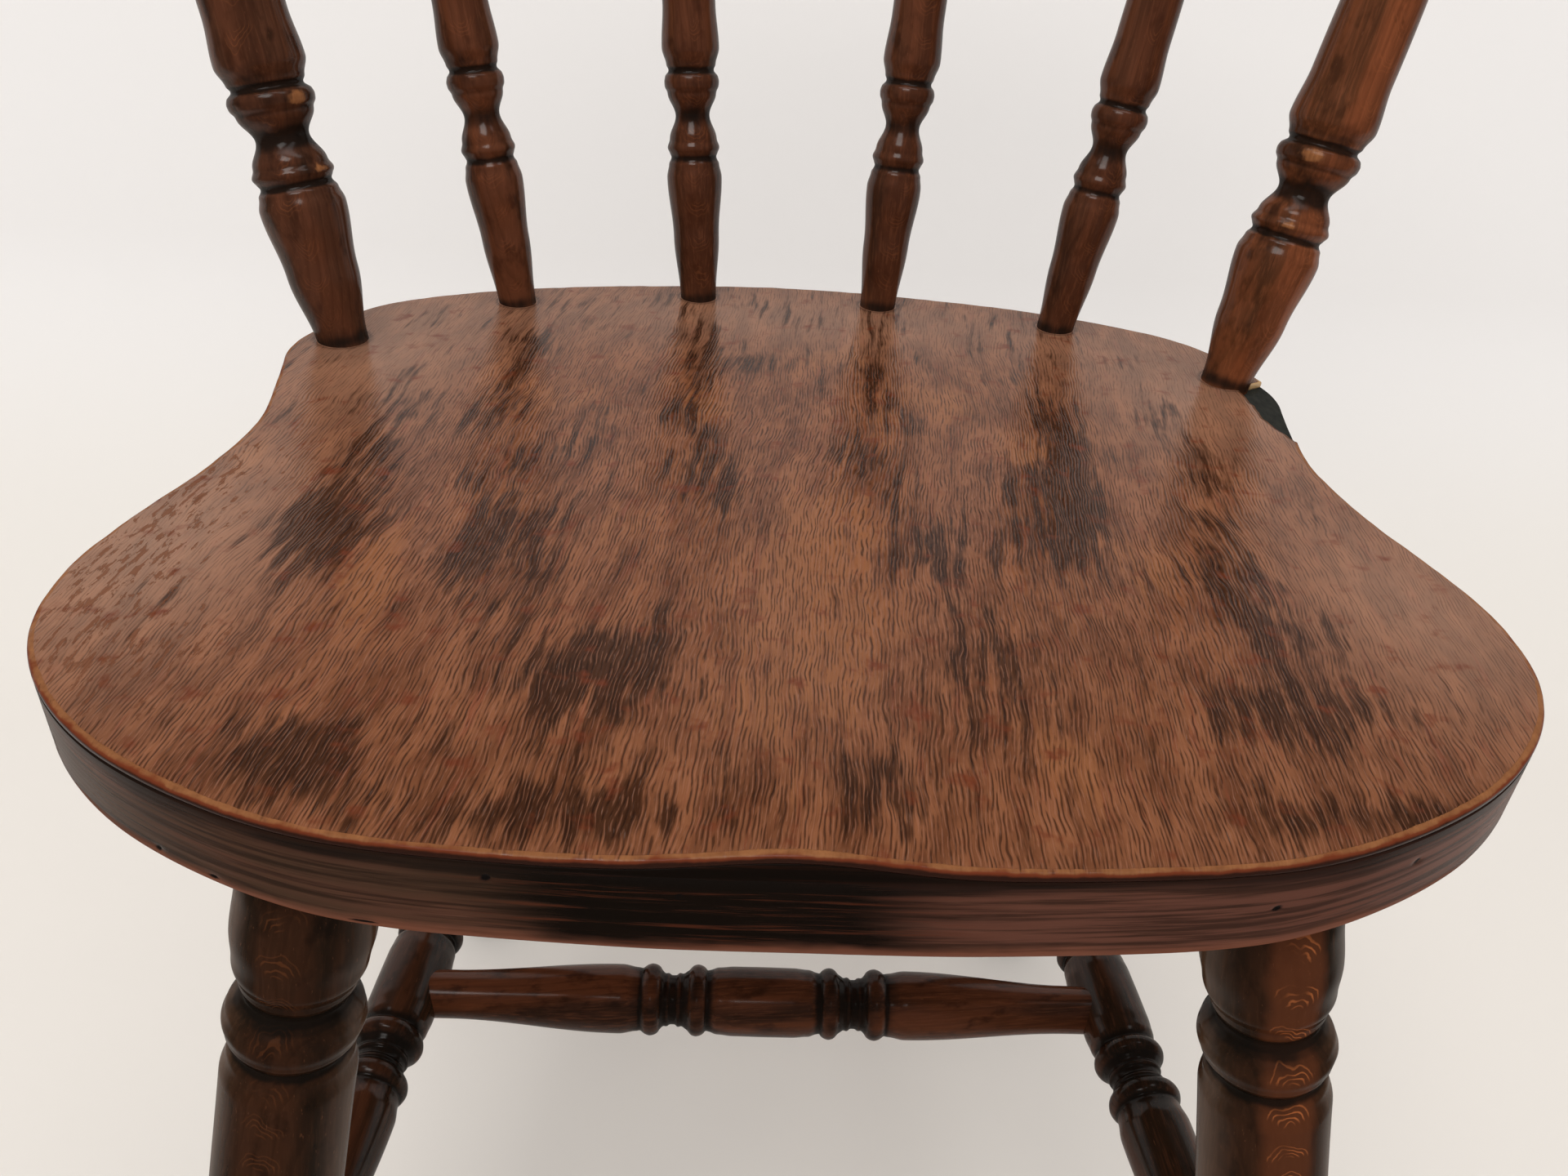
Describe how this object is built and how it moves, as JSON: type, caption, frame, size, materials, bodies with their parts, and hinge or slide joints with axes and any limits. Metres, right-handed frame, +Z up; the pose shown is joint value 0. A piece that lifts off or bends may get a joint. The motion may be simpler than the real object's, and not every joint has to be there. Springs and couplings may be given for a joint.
{
  "type": "spindle-back kitchen chair",
  "caption": "Dark stained wooden kitchen chair with a turned spindle back, shaped plywood seat, curved crest rail and stretchered turned legs, its finish worn.",
  "frame": {"origin": "on the floor, in the middle of the chair's overall box", "axes": "+X to the right seen from the front, +Y towards the back, +Z up"},
  "size_m": [0.5582, 0.4747, 0.842],
  "materials": {
    "seat_core": "laminated beech core, stained near black and lacquered, rubbed red along its lower edge",
    "seat_face": "face sheet with deep oak-like grain pressed in, brown stain worn in patches, semi-gloss",
    "turned_back": "turned beech, dark brown stain under gloss lacquer, rubbed to tan on ring edges",
    "crest": "shaped beech, dark brown stain under gloss lacquer",
    "turned_base": "turned beech, dark brown stain under gloss lacquer, orange figure showing through"
  },
  "bodies": {
    "root": {"seat_core": "seat_core", "seat_face_sheet": "seat_face", "post_left": "turned_back", "post_right": "turned_back", "spindle_outer_left": "turned_back", "spindle_inner_left": "turned_back", "spindle_inner_right": "turned_back", "spindle_outer_right": "turned_back", "crest_rail": "crest", "front_leg_left": "turned_base", "front_leg_right": "turned_base", "rear_leg_left": "turned_base", "rear_leg_right": "turned_base", "side_stretcher_left": "turned_base", "side_stretcher_right": "turned_base", "cross_stretcher": "turned_base"}
  },
  "joints": []
}
